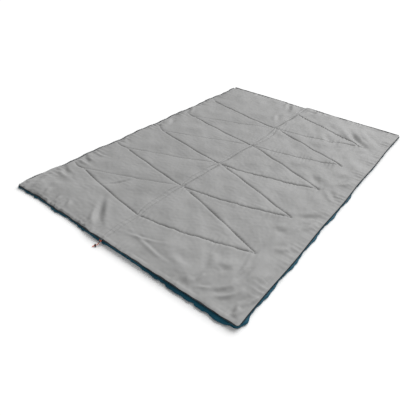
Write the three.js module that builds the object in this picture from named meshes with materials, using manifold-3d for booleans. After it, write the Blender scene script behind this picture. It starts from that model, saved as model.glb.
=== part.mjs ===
// A rectangular sleeping bag, unzipped all the way round and laid open flat with its lining up.
// Millimetres, +X right, +Y from the foot edge to the head edge, +Z up. The origin is on the
// ground under the middle of the open bag, and the bag folds shut about a line along Y over it.
// Each half is a cloth tray of insulation with a lining on top. The right half stands still and
// carries the slider, and the left half folds over onto it.

import * as THREE from "three";
import { mergeVertices } from "three/addons/utils/BufferGeometryUtils.js";
import Module from "manifold-3d";

const wasm = await Module();
wasm.setup();

// Driving dimensions
const bagLength = 2200; // foot edge to head edge
const openWidth = 1500; // long edge to long edge, two halves
const sideHeight = 20; // shell bottom to the rim under the zip tape
const cornerRadius = 30;
const clothThickness = 1;
const gap = 0.3; // between faces that touch on the real bag
const halfGap = 0.3; // from the fold plane to each half

// Quilting: one zigzag seam on each half, between points beside the fold and points outside
const seamPitch = 350;
const firstSeamY = -850;
const seamCount = 6;
const seamInnerX = 15;
const seamOuterX = 605;
const seamOuterRise = 135; // how far an outer point lies beyond the inner point before it

// Zip along the foot edge and the long edge
const coilInset = 5; // coil centre, inward from the bag's outline
const coilHalfWidth = 2;
const coilHalfHeight = 1.6;
const tapeWidth = 16.7;
const coilZ = sideHeight + 0.7;
const zipEndY = 1072;
const liningInset = coilInset + coilHalfWidth + tapeWidth + 2 * gap;

// Slider and puller, at the middle of the foot edge when the bag is open
const sliderLength = 14;
const sliderPlate = 1.6;
const sliderRoom = 0.5; // between the coil and each plate
const pivotOutset = 5.6; // pull tab's pivot, outward from the bag's outline
const pivotZ = 22;
const pinRadius = 0.9;
const tabThickness = 1.6;
const tabReach = 11; // pivot to the far end
const tabEndRadius = 3.2;
const tabDroop = (40 * Math.PI) / 180; // how far the tab hangs below level
const cordRadius = 1.5;
const gripLength = 21; // across the cord
const gripTurn = (33 * Math.PI) / 180; // the cord's turn from -Y where it goes through the grip
const gripCentre = new THREE.Vector3(-9.3, -1128.6, 4.6);

// Pull cord's route, from the tab's end to its bare tail on the ground
const cordRoute = [
  [0, -1114.3, 14.7],
  [-0.3, -1116.0, 13.0],
  [-1.0, -1117.8, 11.0],
  [-2.1, -1119.6, 8.9],
  [-3.6, -1121.4, 7.0],
  [-5.3, -1123.2, 5.6],
  [-7.1, -1125.2, 4.8],
  [-9.3, -1128.6, 4.6],
  [-11.5, -1132.0, 4.6],
  [-13.0, -1134.6, 4.1],
  [-14.2, -1137.2, 3.2],
  [-15.0, -1139.9, 2.4],
  [-15.2, -1142.6, 1.9],
];

const shellCloth = new THREE.MeshStandardMaterial({ color: 0x14465c, roughness: 0.75 });
const batting = new THREE.MeshStandardMaterial({ color: 0xe8e8e4, roughness: 0.95 });
const liningCloth = new THREE.MeshStandardMaterial({ color: 0xa4a4a4, roughness: 0.8 });
const tapeCloth = new THREE.MeshStandardMaterial({ color: 0x23201f, roughness: 0.85 });
const coilPlastic = new THREE.MeshStandardMaterial({ color: 0x191615, roughness: 0.45 });
const hemCloth = new THREE.MeshStandardMaterial({ color: 0x55565a, roughness: 0.85 });
const seamThread = new THREE.MeshStandardMaterial({ color: 0x8c8c8c, roughness: 0.7 });
const orangePaint = new THREE.MeshStandardMaterial({ color: 0xc85523, roughness: 0.4 });
const orangeCord = new THREE.MeshStandardMaterial({ color: 0xc85523, roughness: 0.85 });
const blackPlastic = new THREE.MeshStandardMaterial({ color: 0x161616, roughness: 0.5 });

const bag = new THREE.Group();

function addPiece(name, geometry, material) {
  const mesh = new THREE.Mesh(geometry, material);
  mesh.name = name;
  bag.add(mesh);
  return mesh;
}

// Points of one half's outline, counter-clockwise from its fold side at the foot, drawn in by
// inset from the bag's true outline.
function halfOutline(inset, foldX) {
  const edgeX = openWidth / 2 - inset;
  const endY = bagLength / 2 - inset;
  const radius = cornerRadius - inset;
  const outline = [[foldX, -endY]];
  for (const [centreY, start] of [[radius - endY, -Math.PI / 2], [endY - radius, 0]]) {
    for (let i = 0; i <= 6; i++) {
      const angle = start + (i * Math.PI) / 12;
      outline.push([edgeX - radius + radius * Math.cos(angle), centreY + radius * Math.sin(angle)]);
    }
  }
  outline.push([foldX, endY]);
  return outline;
}

// The stretch of that outline that the zip follows: along the foot and up the long edge.
function zipPath(inset, startX, endY) {
  const points = halfOutline(inset, startX).slice(0, 8);
  points.push([openWidth / 2 - inset, endY]);
  return points;
}

// A closed solid whose skin joins each ring of points to the next, with both ends capped.
function solidFromRings(rings) {
  const count = rings[0].length;
  const index = [];
  for (let r = 0; r + 1 < rings.length; r++) {
    for (let i = 0; i < count; i++) {
      const a = r * count + i;
      const b = r * count + ((i + 1) % count);
      index.push(a, b, b + count, a, b + count, a + count);
    }
  }
  const top = (rings.length - 1) * count;
  for (let i = 1; i + 1 < count; i++) {
    index.push(0, i + 1, i);
    index.push(top, top + i, top + i + 1);
  }
  const geometry = new THREE.BufferGeometry();
  geometry.setAttribute("position", new THREE.Float32BufferAttribute(rings.flat(2), 3));
  geometry.setIndex(index);
  return geometry;
}

// A solid stacked from outlines of one half, each level given as [height, inset].
function stackedHalf(levels, foldX) {
  return solidFromRings(
    levels.map(([z, inset]) => halfOutline(inset, foldX).map(([x, y]) => [x, y, z])),
  );
}

// A strip of one section swept along the zip's path, the section given as [inset, height].
function edgeStrip(section, startX, endY) {
  const paths = section.map(([inset]) => zipPath(inset, startX, endY));
  return solidFromRings(
    paths[0].map((_, station) => section.map(([, z], i) => [...paths[i][station], z])),
  );
}

function block(low, high) {
  const size = high.map((value, i) => value - low[i]);
  return new THREE.BoxGeometry(...size).translate(...low.map((value, i) => value + size[i] / 2));
}

function toSolid(geometry) {
  const bare = geometry.clone();
  bare.deleteAttribute("normal");
  bare.deleteAttribute("uv");
  const merged = mergeVertices(bare, 1e-4);
  return new wasm.Manifold(
    new wasm.Mesh({
      numProp: 3,
      vertProperties: merged.attributes.position.array,
      triVerts: new Uint32Array(merged.index.array),
    }),
  );
}

function toGeometry(solid) {
  const { vertProperties, triVerts } = solid.getMesh();
  const geometry = new THREE.BufferGeometry();
  geometry.setAttribute("position", new THREE.BufferAttribute(vertProperties, 3));
  geometry.setIndex(new THREE.BufferAttribute(triVerts, 1));
  return geometry;
}

function cut(geometry, ...tools) {
  return toGeometry(tools.reduce((solid, tool) => solid.subtract(toSolid(tool)), toSolid(geometry)));
}

function join(...geometries) {
  return toGeometry(geometries.map(toSolid).reduce((all, solid) => all.add(solid)));
}

// The left half is the right half's mirror image, with its faces turned back outwards.
function mirrored(geometry) {
  const flipped = geometry.clone().scale(-1, 1, 1);
  const { array } = flipped.index;
  for (let i = 0; i < array.length; i += 3) {
    [array[i + 1], array[i + 2]] = [array[i + 2], array[i + 1]];
  }
  return flipped;
}

// Levels of the shell's soft side wall, as [height, inset]: widest low down, and drawn in at the
// top to leave room for the slider's lower plate under the coil.
const sideLevels = [[0, 7], [2.5, 2], [7, 0], [11, 2], [14, 7], [16, 12], [sideHeight, 12.5]];

// The side wall's levels drawn in by depth, from bottom to top.
function innerLevels(depth, bottom, top) {
  const inner = sideLevels.map(([z, inset]) => [z, inset + depth]);
  inner[0][0] = bottom;
  inner[inner.length - 1][0] = top;
  return inner;
}

// A corner cut out of the left half at the foot end of the fold, where the slider stands.
const notch = block([-1, -1110, -1], [9, 14 - bagLength / 2, sideHeight + 1]);

function outerShell() {
  const cavity = stackedHalf(innerLevels(clothThickness, clothThickness, sideHeight + 2), -20);
  return cut(stackedHalf(sideLevels, halfGap), cavity);
}

function insulation() {
  return stackedHalf(innerLevels(clothThickness + gap, clothThickness + gap, sideHeight), halfGap);
}

function lining() {
  const bottom = sideHeight + gap;
  return stackedHalf([[bottom, liningInset], [bottom + 1.2, liningInset]], halfGap);
}

const liningTop = sideHeight + gap + 1.2;

function zipTape(startX) {
  const near = coilInset + coilHalfWidth + gap;
  const far = near + tapeWidth;
  const low = sideHeight + gap;
  const high = low + 0.8;
  return edgeStrip([[near, low], [far, low], [far, high], [near, high]], startX, zipEndY);
}

function zipCoil(startX) {
  const section = [];
  for (let i = 0; i < 8; i++) {
    const angle = ((i + 0.5) * Math.PI) / 4;
    section.push([
      coilInset + (coilHalfWidth / Math.cos(Math.PI / 8)) * Math.cos(angle),
      coilZ + (coilHalfHeight / Math.cos(Math.PI / 8)) * Math.sin(angle),
    ]);
  }
  return edgeStrip(section, startX, zipEndY);
}

function topStop() {
  const outer = openWidth / 2 - coilInset + coilHalfWidth;
  const inner = outer - 2 * coilHalfWidth;
  const low = coilZ - coilHalfHeight;
  return block([inner, zipEndY + gap, low], [outer, zipEndY + 2.4, low + 2 * coilHalfHeight]);
}

function headHem() {
  const low = sideHeight + gap;
  const nearY = bagLength / 2 - 24;
  const section = [[nearY, low], [1095, low], [1096, low + 0.7], [1095, low + 1.6], [nearY, low + 1.6]];
  return solidFromRings([halfGap, 736].map((x) => section.map(([y, z]) => [x, y, z])));
}

// A flat thread along a polyline of [x, y] points, mitred at each corner.
function threadAlong(points, width) {
  const low = liningTop + gap;
  const high = low + 0.8;
  const directions = points.slice(1).map(([x, y], i) => {
    return new THREE.Vector2(x - points[i][0], y - points[i][1]).normalize();
  });
  const rings = points.map(([x, y], i) => {
    const incoming = directions[Math.max(i - 1, 0)];
    const outgoing = directions[Math.min(i, directions.length - 1)];
    const tangent = incoming.clone().add(outgoing).normalize();
    const spread = width / 2 / tangent.dot(outgoing);
    const across = [-tangent.y * spread, tangent.x * spread];
    const left = [x + across[0], y + across[1]];
    const right = [x - across[0], y - across[1]];
    return [[...right, low], [...left, low], [...left, high], [...right, high]];
  });
  return solidFromRings(rings);
}

function quiltingThread() {
  const points = [];
  for (let i = 0; i < seamCount; i++) {
    const y = firstSeamY + i * seamPitch;
    points.push([seamInnerX + 8, y], [seamOuterX, y + seamOuterRise]);
  }
  return threadAlong(points, 2);
}

function foldStitching() {
  const endY = bagLength / 2 - liningInset - 4;
  return threadAlong([[seamInnerX, -endY], [seamInnerX, endY]], 1.4);
}

// One half's pieces. coilStart is where the coil begins along the foot edge, tapeStart the same
// for the tape, and trim takes the slider's corner out of the deep pieces.
function addHalf(side, place, trim, coilStart, tapeStart) {
  addPiece(side + "_outer_shell", place(trim(outerShell())), shellCloth);
  addPiece(side + "_insulation", place(trim(insulation())), batting);
  addPiece(side + "_lining", place(lining()), liningCloth);
  addPiece(side + "_quilting_thread", place(quiltingThread()), seamThread);
  addPiece(side + "_fold_stitching", place(foldStitching()), seamThread);
  addPiece(side + "_zip_tape", place(zipTape(tapeStart)), tapeCloth);
  addPiece(side + "_zip_coil", place(zipCoil(coilStart)), coilPlastic);
  addPiece(side + "_zip_top_stop", place(topStop()), blackPlastic);
  addPiece(side + "_head_hem", place(headHem()), hemCloth);
}

const coilTail = -(sliderLength / 2 + 0.2); // the right coil runs on under the slider
addHalf("right", (geometry) => geometry, (geometry) => geometry, coilTail, halfGap);
addHalf("left", mirrored, (geometry) => cut(geometry, notch), 9, 9);

// A stop clamped on the right coil's tail, which the open slider rests against.
function bottomStop() {
  const outerY = coilInset - coilHalfWidth - bagLength / 2;
  const low = coilZ - coilHalfHeight;
  return block(
    [coilTail - 1.5, outerY, low],
    [coilTail - gap, outerY + 2 * coilHalfWidth, low + 2 * coilHalfHeight],
  );
}
addPiece("zip_bottom_stop", bottomStop(), blackPlastic);

// The slider: two plates and an outer web around the coil, with two ears and a pin outside.
function sliderBody() {
  const half = sliderLength / 2;
  const outer = -bagLength / 2 - 0.6;
  const inner = -bagLength / 2 + 10.8;
  const low = coilZ - coilHalfHeight - sliderRoom - sliderPlate;
  const high = coilZ + coilHalfHeight + sliderRoom + sliderPlate;
  const outline = new THREE.Shape();
  outline.moveTo(-half, inner);
  outline.lineTo(-half * 0.75, outer);
  outline.lineTo(half * 0.75, outer);
  outline.lineTo(half, inner);
  outline.closePath();
  const blank = new THREE.ExtrudeGeometry(outline, { depth: high - low, bevelEnabled: false });
  blank.translate(0, 0, low);
  const channel = block(
    [-half - 1, outer + sliderPlate, low + sliderPlate],
    [half + 1, inner + 1, high - sliderPlate],
  );
  const pivotY = -bagLength / 2 - pivotOutset;
  const ears = [-1, 1].map((side) =>
    block(
      [Math.min(side * 3.1, side * 4.6), pivotY - 1.8, pivotZ - 1.7],
      [Math.max(side * 3.1, side * 4.6), outer + 0.5, pivotZ + 1.7],
    ),
  );
  const pin = new THREE.CylinderGeometry(pinRadius, pinRadius, 8, 12);
  pin.rotateZ(Math.PI / 2).translate(0, pivotY, pivotZ);
  return join(cut(blank, channel), ...ears, pin);
}
addPiece("slider_body", sliderBody(), orangePaint);

// The pull tab: an eye round the slider's pin and a flat arm out to the cord's hole, drawn level
// with its pivot at the origin and then hung from the slider.
function pullTab() {
  const holeY = tabEndRadius - tabReach;
  const eye = new THREE.CylinderGeometry(2.3, 2.3, 5.2, 16).rotateZ(Math.PI / 2);
  const arm = new THREE.Shape();
  arm.moveTo(-2.4, -1);
  arm.lineTo(-2.4, -4.5);
  arm.absarc(0, holeY, tabEndRadius, Math.PI, 2 * Math.PI, false);
  arm.lineTo(2.4, -4.5);
  arm.lineTo(2.4, -1);
  arm.closePath();
  const plate = new THREE.ExtrudeGeometry(arm, {
    depth: tabThickness,
    bevelEnabled: false,
    curveSegments: 10,
  });
  plate.translate(0, 0, -tabThickness / 2);
  const pinHole = new THREE.CylinderGeometry(pinRadius + 0.35, pinRadius + 0.35, 12, 12);
  pinHole.rotateZ(Math.PI / 2);
  const cordHole = new THREE.CylinderGeometry(1.8, 1.8, 6, 12);
  cordHole.rotateX(Math.PI / 2).translate(0, holeY, 0);
  return cut(join(eye, plate), pinHole, cordHole);
}
const tab = addPiece("pull_tab", pullTab(), blackPlastic);
tab.position.set(0, -bagLength / 2 - pivotOutset, pivotZ);
tab.rotation.x = tabDroop;

function pullCord() {
  const route = new THREE.CatmullRomCurve3(cordRoute.map((point) => new THREE.Vector3(...point)));
  const section = new THREE.Shape();
  for (let i = 0; i < 8; i++) {
    const angle = (i * Math.PI) / 4;
    const x = cordRadius * Math.cos(angle);
    const y = cordRadius * Math.sin(angle);
    if (i === 0) section.moveTo(x, y);
    else section.lineTo(x, y);
  }
  section.closePath();
  return new THREE.ExtrudeGeometry(section, { steps: 20, extrudePath: route, bevelEnabled: false });
}
addPiece("pull_cord", pullCord(), orangeCord);

// The grip: a bar across the cord with two round lobes, and a hole that the cord passes through.
function pullGrip() {
  const profile = [];
  for (let i = 0; i <= 12; i++) {
    const along = -1 + i / 6;
    const lobes = 3.3 + 0.9 * Math.sin(Math.PI * Math.abs(along)) ** 2;
    const round = Math.sqrt(Math.max(1 - Math.abs(along) ** 5, 0));
    profile.push(new THREE.Vector2(lobes * round, (along * gripLength) / 2));
  }
  const bar = new THREE.LatheGeometry(profile, 12).rotateZ(-Math.PI / 2);
  const hole = new THREE.CylinderGeometry(cordRadius + 0.35, cordRadius + 0.35, 12, 12);
  return cut(bar, hole);
}
const grip = addPiece("pull_grip", pullGrip(), blackPlastic);
grip.position.copy(gripCentre);
grip.rotation.z = -gripTurn;

export default bag;
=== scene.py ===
"""A rectangular sleeping bag lying fully opened out: grey lining up, teal shell under it.

Metres, Z up, +Y towards the head. The fold runs along Y at x = 0, and the zip along the foot
and both long edges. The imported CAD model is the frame: it gives every body, size and place.
The grids, seams and edges below are worked out from that frame and a few driving values.
"""
import math

import bpy
import numpy as np
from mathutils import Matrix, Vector
from mathutils.bvhtree import BVHTree


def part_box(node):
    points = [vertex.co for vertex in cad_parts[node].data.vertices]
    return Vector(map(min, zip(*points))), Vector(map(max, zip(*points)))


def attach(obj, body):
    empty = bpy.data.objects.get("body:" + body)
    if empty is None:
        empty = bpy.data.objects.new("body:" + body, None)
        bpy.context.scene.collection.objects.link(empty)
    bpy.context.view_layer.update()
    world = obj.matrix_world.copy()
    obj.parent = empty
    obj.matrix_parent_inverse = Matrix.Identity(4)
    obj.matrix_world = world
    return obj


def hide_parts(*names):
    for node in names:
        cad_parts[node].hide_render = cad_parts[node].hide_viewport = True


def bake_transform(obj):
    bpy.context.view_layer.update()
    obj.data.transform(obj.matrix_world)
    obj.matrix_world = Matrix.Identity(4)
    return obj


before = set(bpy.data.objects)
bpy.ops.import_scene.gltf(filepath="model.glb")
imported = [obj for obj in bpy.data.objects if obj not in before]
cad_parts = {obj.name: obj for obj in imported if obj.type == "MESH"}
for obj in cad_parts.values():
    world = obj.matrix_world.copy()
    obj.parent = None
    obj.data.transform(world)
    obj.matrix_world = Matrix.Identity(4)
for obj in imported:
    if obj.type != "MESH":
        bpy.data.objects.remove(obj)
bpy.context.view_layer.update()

# ---- sizes taken from the frame
HALF_WIDTH, HALF_LENGTH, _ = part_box("right_outer_shell")[1]
TAPE_LOW, TAPE_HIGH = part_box("right_zip_tape")
COIL_LOW, COIL_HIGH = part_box("right_zip_coil")
COIL_Z = (COIL_LOW.z + COIL_HIGH.z) / 2
CORNER_RADIUS = 0.030  # of the bag's outline

# ---- how the cloth lies
LEFT_SHIFT, RIGHT_SHIFT = 0.022, 0.027  # how far right of its drawn place each long edge lies
LINING_INSET = 0.0088  # from the outer line to the lining's rolled edge
LINING_EDGE_Z = 0.0216
EDGE_DROP = 0.22  # the long edges and the head lie this share lower than the foot
LEFT_FOOT_DROP = 0.40  # and the foot of the left half this share lower than that of the right
RIGHT_LIP, LEFT_LIP = 0.0005, 0.0085  # how far the lining's long edges are drawn in from the zip
LEFT_FLOP_Y = -0.875  # except that here the left one flops out over it
CREST_Z = 0.0230  # the lining's usual height over the batting
SOFT_TOP_Z, SOFT_TOP_REACH = 0.0262, 0.003  # above this the folds are pressed flat within this reach
HIGHEST_Z = 0.0295
LOWEST_SEAM_Z = 0.0085
UNDERSIDE_Z = 0.0005
PINCH_Z = 0.0048  # how far a seam pulls the shell up from the floor

# ---- quilting
# The zigzag runs from node to node beside the fold, and out to its ends near the long edges.
SEAM_PITCH = 0.35
FIRST_NODE_Y = -0.85
NODE_COUNT = 6
NODE_X = [-0.002, -0.009, 0.003, 0.017, 0.005, 0.014]
RIGHT_START, LEFT_START = 0.012, -0.014  # where the seams start, from the node's x
RIGHT_END_X, RIGHT_RISE = 0.609, 0.147
LEFT_END_X, LEFT_RISE = -0.590, 0.110
LEFT_TUCK_RISE = [0.013, 0.010, 0.075, 0.041, 0.049]
TUCK_REACH = 0.095
FULL_DEPTH = 0.0062  # how far a firmly sewn seam draws the lining down
# How each kind of seam lies: (bow, depth, width of its groove, strength of its puckers, wander).
RIGHT_OUT = (0.016, 0.0058, 0.0020, 1.0, 0.0018)
RIGHT_OUT_FAINT = (0.016, 0.0030, 0.0020, 1.3, 0.0018)
RIGHT_BACK = (-0.004, FULL_DEPTH, 0.0016, 0.7, 0.0)
RIGHT_BACK_LAST = (-0.004, FULL_DEPTH, 0.0016, 1.8, 0.0020)
LEFT_OUT = (0.007, FULL_DEPTH, 0.0016, 0.6, 0.0)
LEFT_BACK = (0.004, 0.0028, 0.0070, 0.35, 0.0)
LEFT_TUCK = (0.010, 0.0050, 0.0032, 0.6, 0.0)
# The raised band between the two fold seams, between each two nodes:
# (centre, half width, how hard the left seam is drawn in, and the right one).
BAND = [
    (-0.022, 0.016, 0.8, 0.6),
    (-0.013, 0.018, 0.8, 0.9),
    (-0.010, 0.015, 0.4, 1.1),
    (0.022, 0.016, 1.0, 0.6),
    (-0.008, 0.012, 0.4, 1.4),
]
BAND_FOOT = (-0.012, 0.013, 0.35, 0.4)
BAND_HEAD = (-0.004, 0.014, 0.7, 0.9)
NODE_HALF_BAND = 0.0045  # the band's half width where it is pinched in at a node
BAND_DEPTH = 0.0072
TUBE_HEIGHT = 0.0036  # how far the filling stands up along the band
CREASE = 0.0022  # the grid's points stand this far to either side of a seam

PUCKER_HEIGHT = 0.0034
SIDE_GATHER_HEIGHT, END_GATHER_HEIGHT = 0.0074, 0.0084
# The foot edge as it lies: (x, how far the lining's edge is drawn in, how far the shell puffs out).
FOOT_LINE = [
    (-0.75, 0.004, 0.000), (-0.66, 0.010, 0.000), (-0.54, 0.015, 0.002), (-0.44, 0.011, -0.001),
    (-0.39, 0.007, 0.001), (-0.32, 0.012, 0.002), (-0.25, 0.009, -0.002), (-0.18, 0.006, 0.001),
    (-0.09, 0.000, -0.002), (0.00, 0.000, -0.001), (0.05, 0.000, -0.006), (0.12, 0.000, -0.009),
    (0.20, 0.000, -0.006), (0.27, 0.000, 0.000), (0.36, 0.000, 0.003), (0.46, 0.000, 0.008),
    (0.56, 0.000, 0.007), (0.64, 0.000, 0.010), (0.71, 0.000, 0.008), (0.745, 0.000, -0.007),
]

GRID_STEP = 0.0062
FOLD_STEP = 0.0032
FOLD_GRID_REACH = 0.038  # and its grid is finer out to here


# ---- small helpers
TURN = 2 * math.pi


def smooth(t):
    t = np.clip(t, 0.0, 1.0)
    return t * t * (3 - 2 * t)


def sine(along, wavelength, phase=0.0):
    return np.sin(TURN * along / wavelength + phase)


def bell(offset, width):
    return np.exp(-((offset / width) ** 2))


def unit(vectors):
    return vectors / np.maximum(np.linalg.norm(vectors, axis=1, keepdims=True), 1e-9)


def as_points(x, y, z):
    return np.stack([x.ravel(), y.ravel(), z.ravel()], 1)


def waves(x, y, wavelength, seed, stretch=1.0, count=14):
    """Smooth noise, mostly within -1 to 1, the same each run; stretch above 1 makes it longer in y."""
    random = np.random.default_rng(seed)
    total = np.zeros(np.broadcast(x, y).shape)
    for _ in range(count):
        angle = random.uniform(0, TURN)
        number = TURN / (wavelength * random.uniform(0.7, 1.5))
        phase = random.uniform(0, TURN)
        total += np.sin(number * (np.cos(angle) * x + np.sin(angle) * y / stretch) + phase)
    return total / math.sqrt(count * 2)


def mesh_piece(name, points, faces, slot, paint):
    mesh = bpy.data.meshes.new(name)
    mesh.from_pydata([tuple(p) for p in points], [], [tuple(f) for f in faces])
    mesh.polygons.foreach_set("use_smooth", [True] * len(mesh.polygons))
    mesh.update()
    piece = bpy.data.objects.new(name, mesh)
    bpy.context.scene.collection.objects.link(piece)
    if paint is not None:
        mesh.materials.append(paint.material)
    return piece


def riding_piece(name, points, faces, slot, paint, body, node):
    piece = mesh_piece(name, points, faces, slot, paint)
    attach(piece, body)
    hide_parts(node)


def grid_faces(rows, columns, offset=0, flip=False):
    corner = (np.arange(rows - 1)[:, None] * columns + np.arange(columns - 1)).ravel() + offset
    faces = np.stack([corner, corner + 1, corner + columns + 1, corner + columns], 1)
    return faces[:, ::-1] if flip else faces


def grid_loop(rows, columns):
    """The grid's border as indices, counter-clockwise from the first corner."""
    foot = list(range(columns))
    right = [r * columns + columns - 1 for r in range(1, rows)]
    head = [(rows - 1) * columns + c for c in range(columns - 2, -1, -1)]
    left = [r * columns for r in range(rows - 2, 0, -1)]
    return np.array(foot + right + head + left)


def ring_faces(first, second, flip=False):
    """Quads between two closed loops of indices of the same length."""
    a, b = np.asarray(first), np.asarray(second)
    faces = np.stack([a, np.roll(a, -1), np.roll(b, -1), b], 1)
    return faces[:, ::-1] if flip else faces


def outward(points):
    """Unit normals, in plan, of a closed counter-clockwise loop."""
    ahead = np.roll(points[:, :2], -1, 0) - np.roll(points[:, :2], 1, 0)
    return unit(np.stack([ahead[:, 1], -ahead[:, 0]], 1))


# ---- camera
def add_camera():
    data = bpy.data.cameras.new("camera")
    data.lens = 32.967
    data.sensor_width = 36
    camera = bpy.data.objects.new("camera", data)
    camera.location = (1.17431, -1.89086, 1.23532)
    camera.rotation_euler = [math.radians(a) for a in (53.1801, -2.4091, 37.4076)]
    bpy.context.scene.collection.objects.link(camera)
    bpy.context.scene.camera = camera


add_camera()


# ---- materials
WAVE_UNIT = 0.314  # a wave texture's own wavelength


class Paint:
    """A material with a Principled shader and short calls for its procedural nodes."""

    def __init__(self, name, roughness=0.7, **sockets):
        self.material = bpy.data.materials.new(name)
        self.material.use_nodes = True
        self.tree = self.material.node_tree
        self.shader = self.tree.nodes["Principled BSDF"]
        self.shader.inputs["Roughness"].default_value = roughness
        for socket, value in sockets.items():
            self.shader.inputs[socket.replace("_", " ")].default_value = value
        self.place = self.tree.nodes.new("ShaderNodeTexCoord").outputs["Object"]
        self.relief = None  # the last bump's normal, which the next one builds on

    def node(self, kind, **values):
        """A new node; each value is a number, a colour or another node's output."""
        made = self.tree.nodes.new("ShaderNode" + kind)
        for name, value in values.items():
            socket = made.inputs[name.replace("_", " ")]
            if isinstance(value, bpy.types.NodeSocket):
                self.link(value, socket)
            else:
                socket.default_value = value
        return made

    def link(self, out, into):
        self.tree.links.new(out, into)

    def scaled(self, scale):
        return self.node("Mapping", Vector=self.place, Scale=(scale, scale, scale)).outputs["Vector"]

    def noise(self, size, detail):
        return self.node("TexNoise", Vector=self.scaled(1 / size), Scale=1.0, Detail=detail).outputs["Fac"]

    def weave(self, pitch):
        """Warp and weft threads, as the higher of two crossed waves."""
        crossed = self.node("Math")
        crossed.operation = "MAXIMUM"
        for index, axis in enumerate(("X", "Y")):
            wave = self.node("TexWave", Vector=self.scaled(WAVE_UNIT / pitch), Scale=1.0)
            wave.bands_direction = axis
            self.link(wave.outputs["Fac"], crossed.inputs[index])
        return crossed.outputs[0]

    def colour(self, factor, *stops):
        ramp = self.node("ValToRGB", Fac=factor)
        elements = ramp.color_ramp.elements
        for index, (place, colour) in enumerate(stops):
            stop = elements[index] if index < 2 else elements.new(place)
            stop.position = place
            stop.color = (*colour, 1)
        self.link(ramp.outputs["Color"], self.shader.inputs["Base Color"])

    def rough(self, factor, low, high):
        span = self.node("MapRange", Value=factor, To_Min=low, To_Max=high)
        self.link(span.outputs["Result"], self.shader.inputs["Roughness"])

    def bump(self, factor, distance, strength):
        bump = self.node("Bump", Height=factor, Strength=strength, Distance=distance)
        if self.relief is not None:
            self.link(self.relief, bump.inputs["Normal"])
        self.relief = bump.outputs["Normal"]
        self.link(self.relief, self.shader.inputs["Normal"])


def cloth_paint(name, dark, usual, light, roughness, pitch, **sockets):
    paint = Paint(name, roughness, **sockets)
    paint.colour(paint.noise(0.30, 3.0), (0.30, dark), (0.50, usual), (0.72, light))
    paint.rough(paint.noise(0.05, 4.0), roughness - 0.06, roughness + 0.06)
    paint.bump(paint.noise(0.012, 4.0), 0.0006, 0.35)
    paint.bump(paint.weave(pitch), 0.00008, 0.35)
    return paint


LINING_PAINT = cloth_paint("lining_taffeta", (0.264, 0.264, 0.262), (0.284, 0.284, 0.282),
                           (0.304, 0.304, 0.302), 0.50, 0.0007, Specular_IOR_Level=0.08,
                           Sheen_Weight=0.10, Sheen_Roughness=0.35, Sheen_Tint=(0.9, 0.9, 0.9, 1))
SHELL_PAINT = cloth_paint("shell_pongee", (0.0020, 0.048, 0.080), (0.0032, 0.064, 0.103),
                          (0.0050, 0.080, 0.126), 0.62, 0.0008, Specular_IOR_Level=0.2)
BATTING_PAINT = cloth_paint("batting_fibre", (0.70, 0.70, 0.68), (0.76, 0.76, 0.74),
                            (0.82, 0.82, 0.80), 0.95, 0.004)
TAPE_PAINT = cloth_paint("tape_weave", (0.010, 0.011, 0.013), (0.014, 0.015, 0.018),
                         (0.022, 0.023, 0.026), 0.75, 0.0011)
HEM_PAINT = cloth_paint("hem_weave", (0.016, 0.017, 0.018), (0.024, 0.025, 0.026),
                        (0.036, 0.037, 0.038), 0.75, 0.0009)
THREAD_PAINT = cloth_paint("sewing_thread", (0.130, 0.130, 0.130), (0.170, 0.170, 0.168),
                           (0.210, 0.210, 0.207), 0.60, 0.0004)
CORD_PAINT = cloth_paint("braided_cord", (0.66, 0.085, 0.010), (0.78, 0.115, 0.015),
                         (0.88, 0.150, 0.024), 0.65, 0.0009)


def moulded_paint(name, dark, usual, light, roughness, grain, **sockets):
    paint = Paint(name, roughness, **sockets)
    paint.colour(paint.noise(0.006, 4.0), (0.35, dark), (0.50, usual), (0.70, light))
    paint.rough(paint.noise(0.002, 3.0), roughness - 0.07, roughness + 0.10)
    paint.bump(paint.noise(grain, 2.0), 0.0001, 0.25)
    return paint


COIL_PAINT = moulded_paint("coil_nylon", (0.008, 0.008, 0.009), (0.013, 0.013, 0.015),
                           (0.022, 0.022, 0.024), 0.42, 0.0006)
SLIDER_FRONT_Y = -1.1010  # the slider is orange in front of this, at its lug, and dark behind
SLIDER_EDGE = 0.0004  # half the width of the change


def slider_paint():
    paint = moulded_paint("slider_enamel", (0.020, 0.022, 0.025), (0.028, 0.030, 0.034),
                          (0.040, 0.043, 0.048), 0.45, 0.0012)
    split = paint.node("SeparateXYZ", Vector=paint.place)
    front = paint.node("MapRange", Value=split.outputs["Y"], From_Min=SLIDER_FRONT_Y + SLIDER_EDGE,
                       From_Max=SLIDER_FRONT_Y - SLIDER_EDGE)
    colour = paint.shader.inputs["Base Color"]
    mix = paint.node("MixRGB", Fac=front.outputs["Result"], Color1=colour.links[0].from_socket,
                     Color2=(0.62, 0.085, 0.012, 1))
    paint.link(mix.outputs["Color"], colour)
    return paint


SLIDER_PAINT = slider_paint()
GRIP_PAINT = moulded_paint("grip_rubber", (0.010, 0.010, 0.011), (0.016, 0.016, 0.018),
                           (0.026, 0.026, 0.028), 0.48, 0.0005)
STOP_PAINT = moulded_paint("stop_metal", (0.30, 0.30, 0.31), (0.42, 0.42, 0.43),
                           (0.52, 0.52, 0.53), 0.38, 0.0007, Metallic=0.9)


# ---- the puller's cord
CORD_DIAMETER = 0.003
CORD_POINTS = [
    (0, -1.1143, 0.0147), (-0.0003, -1.1160, 0.0130), (-0.0010, -1.1178, 0.0110),
    (-0.0021, -1.1196, 0.0089), (-0.0036, -1.1214, 0.0070), (-0.0053, -1.1232, 0.0056),
    (-0.0071, -1.1252, 0.0048), (-0.0093, -1.1286, 0.0046), (-0.0115, -1.1320, 0.0046),
    (-0.0130, -1.1346, 0.0041), (-0.0142, -1.1372, 0.0032), (-0.0150, -1.1399, 0.0024),
    (-0.0152, -1.1426, 0.0019),
]


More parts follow.
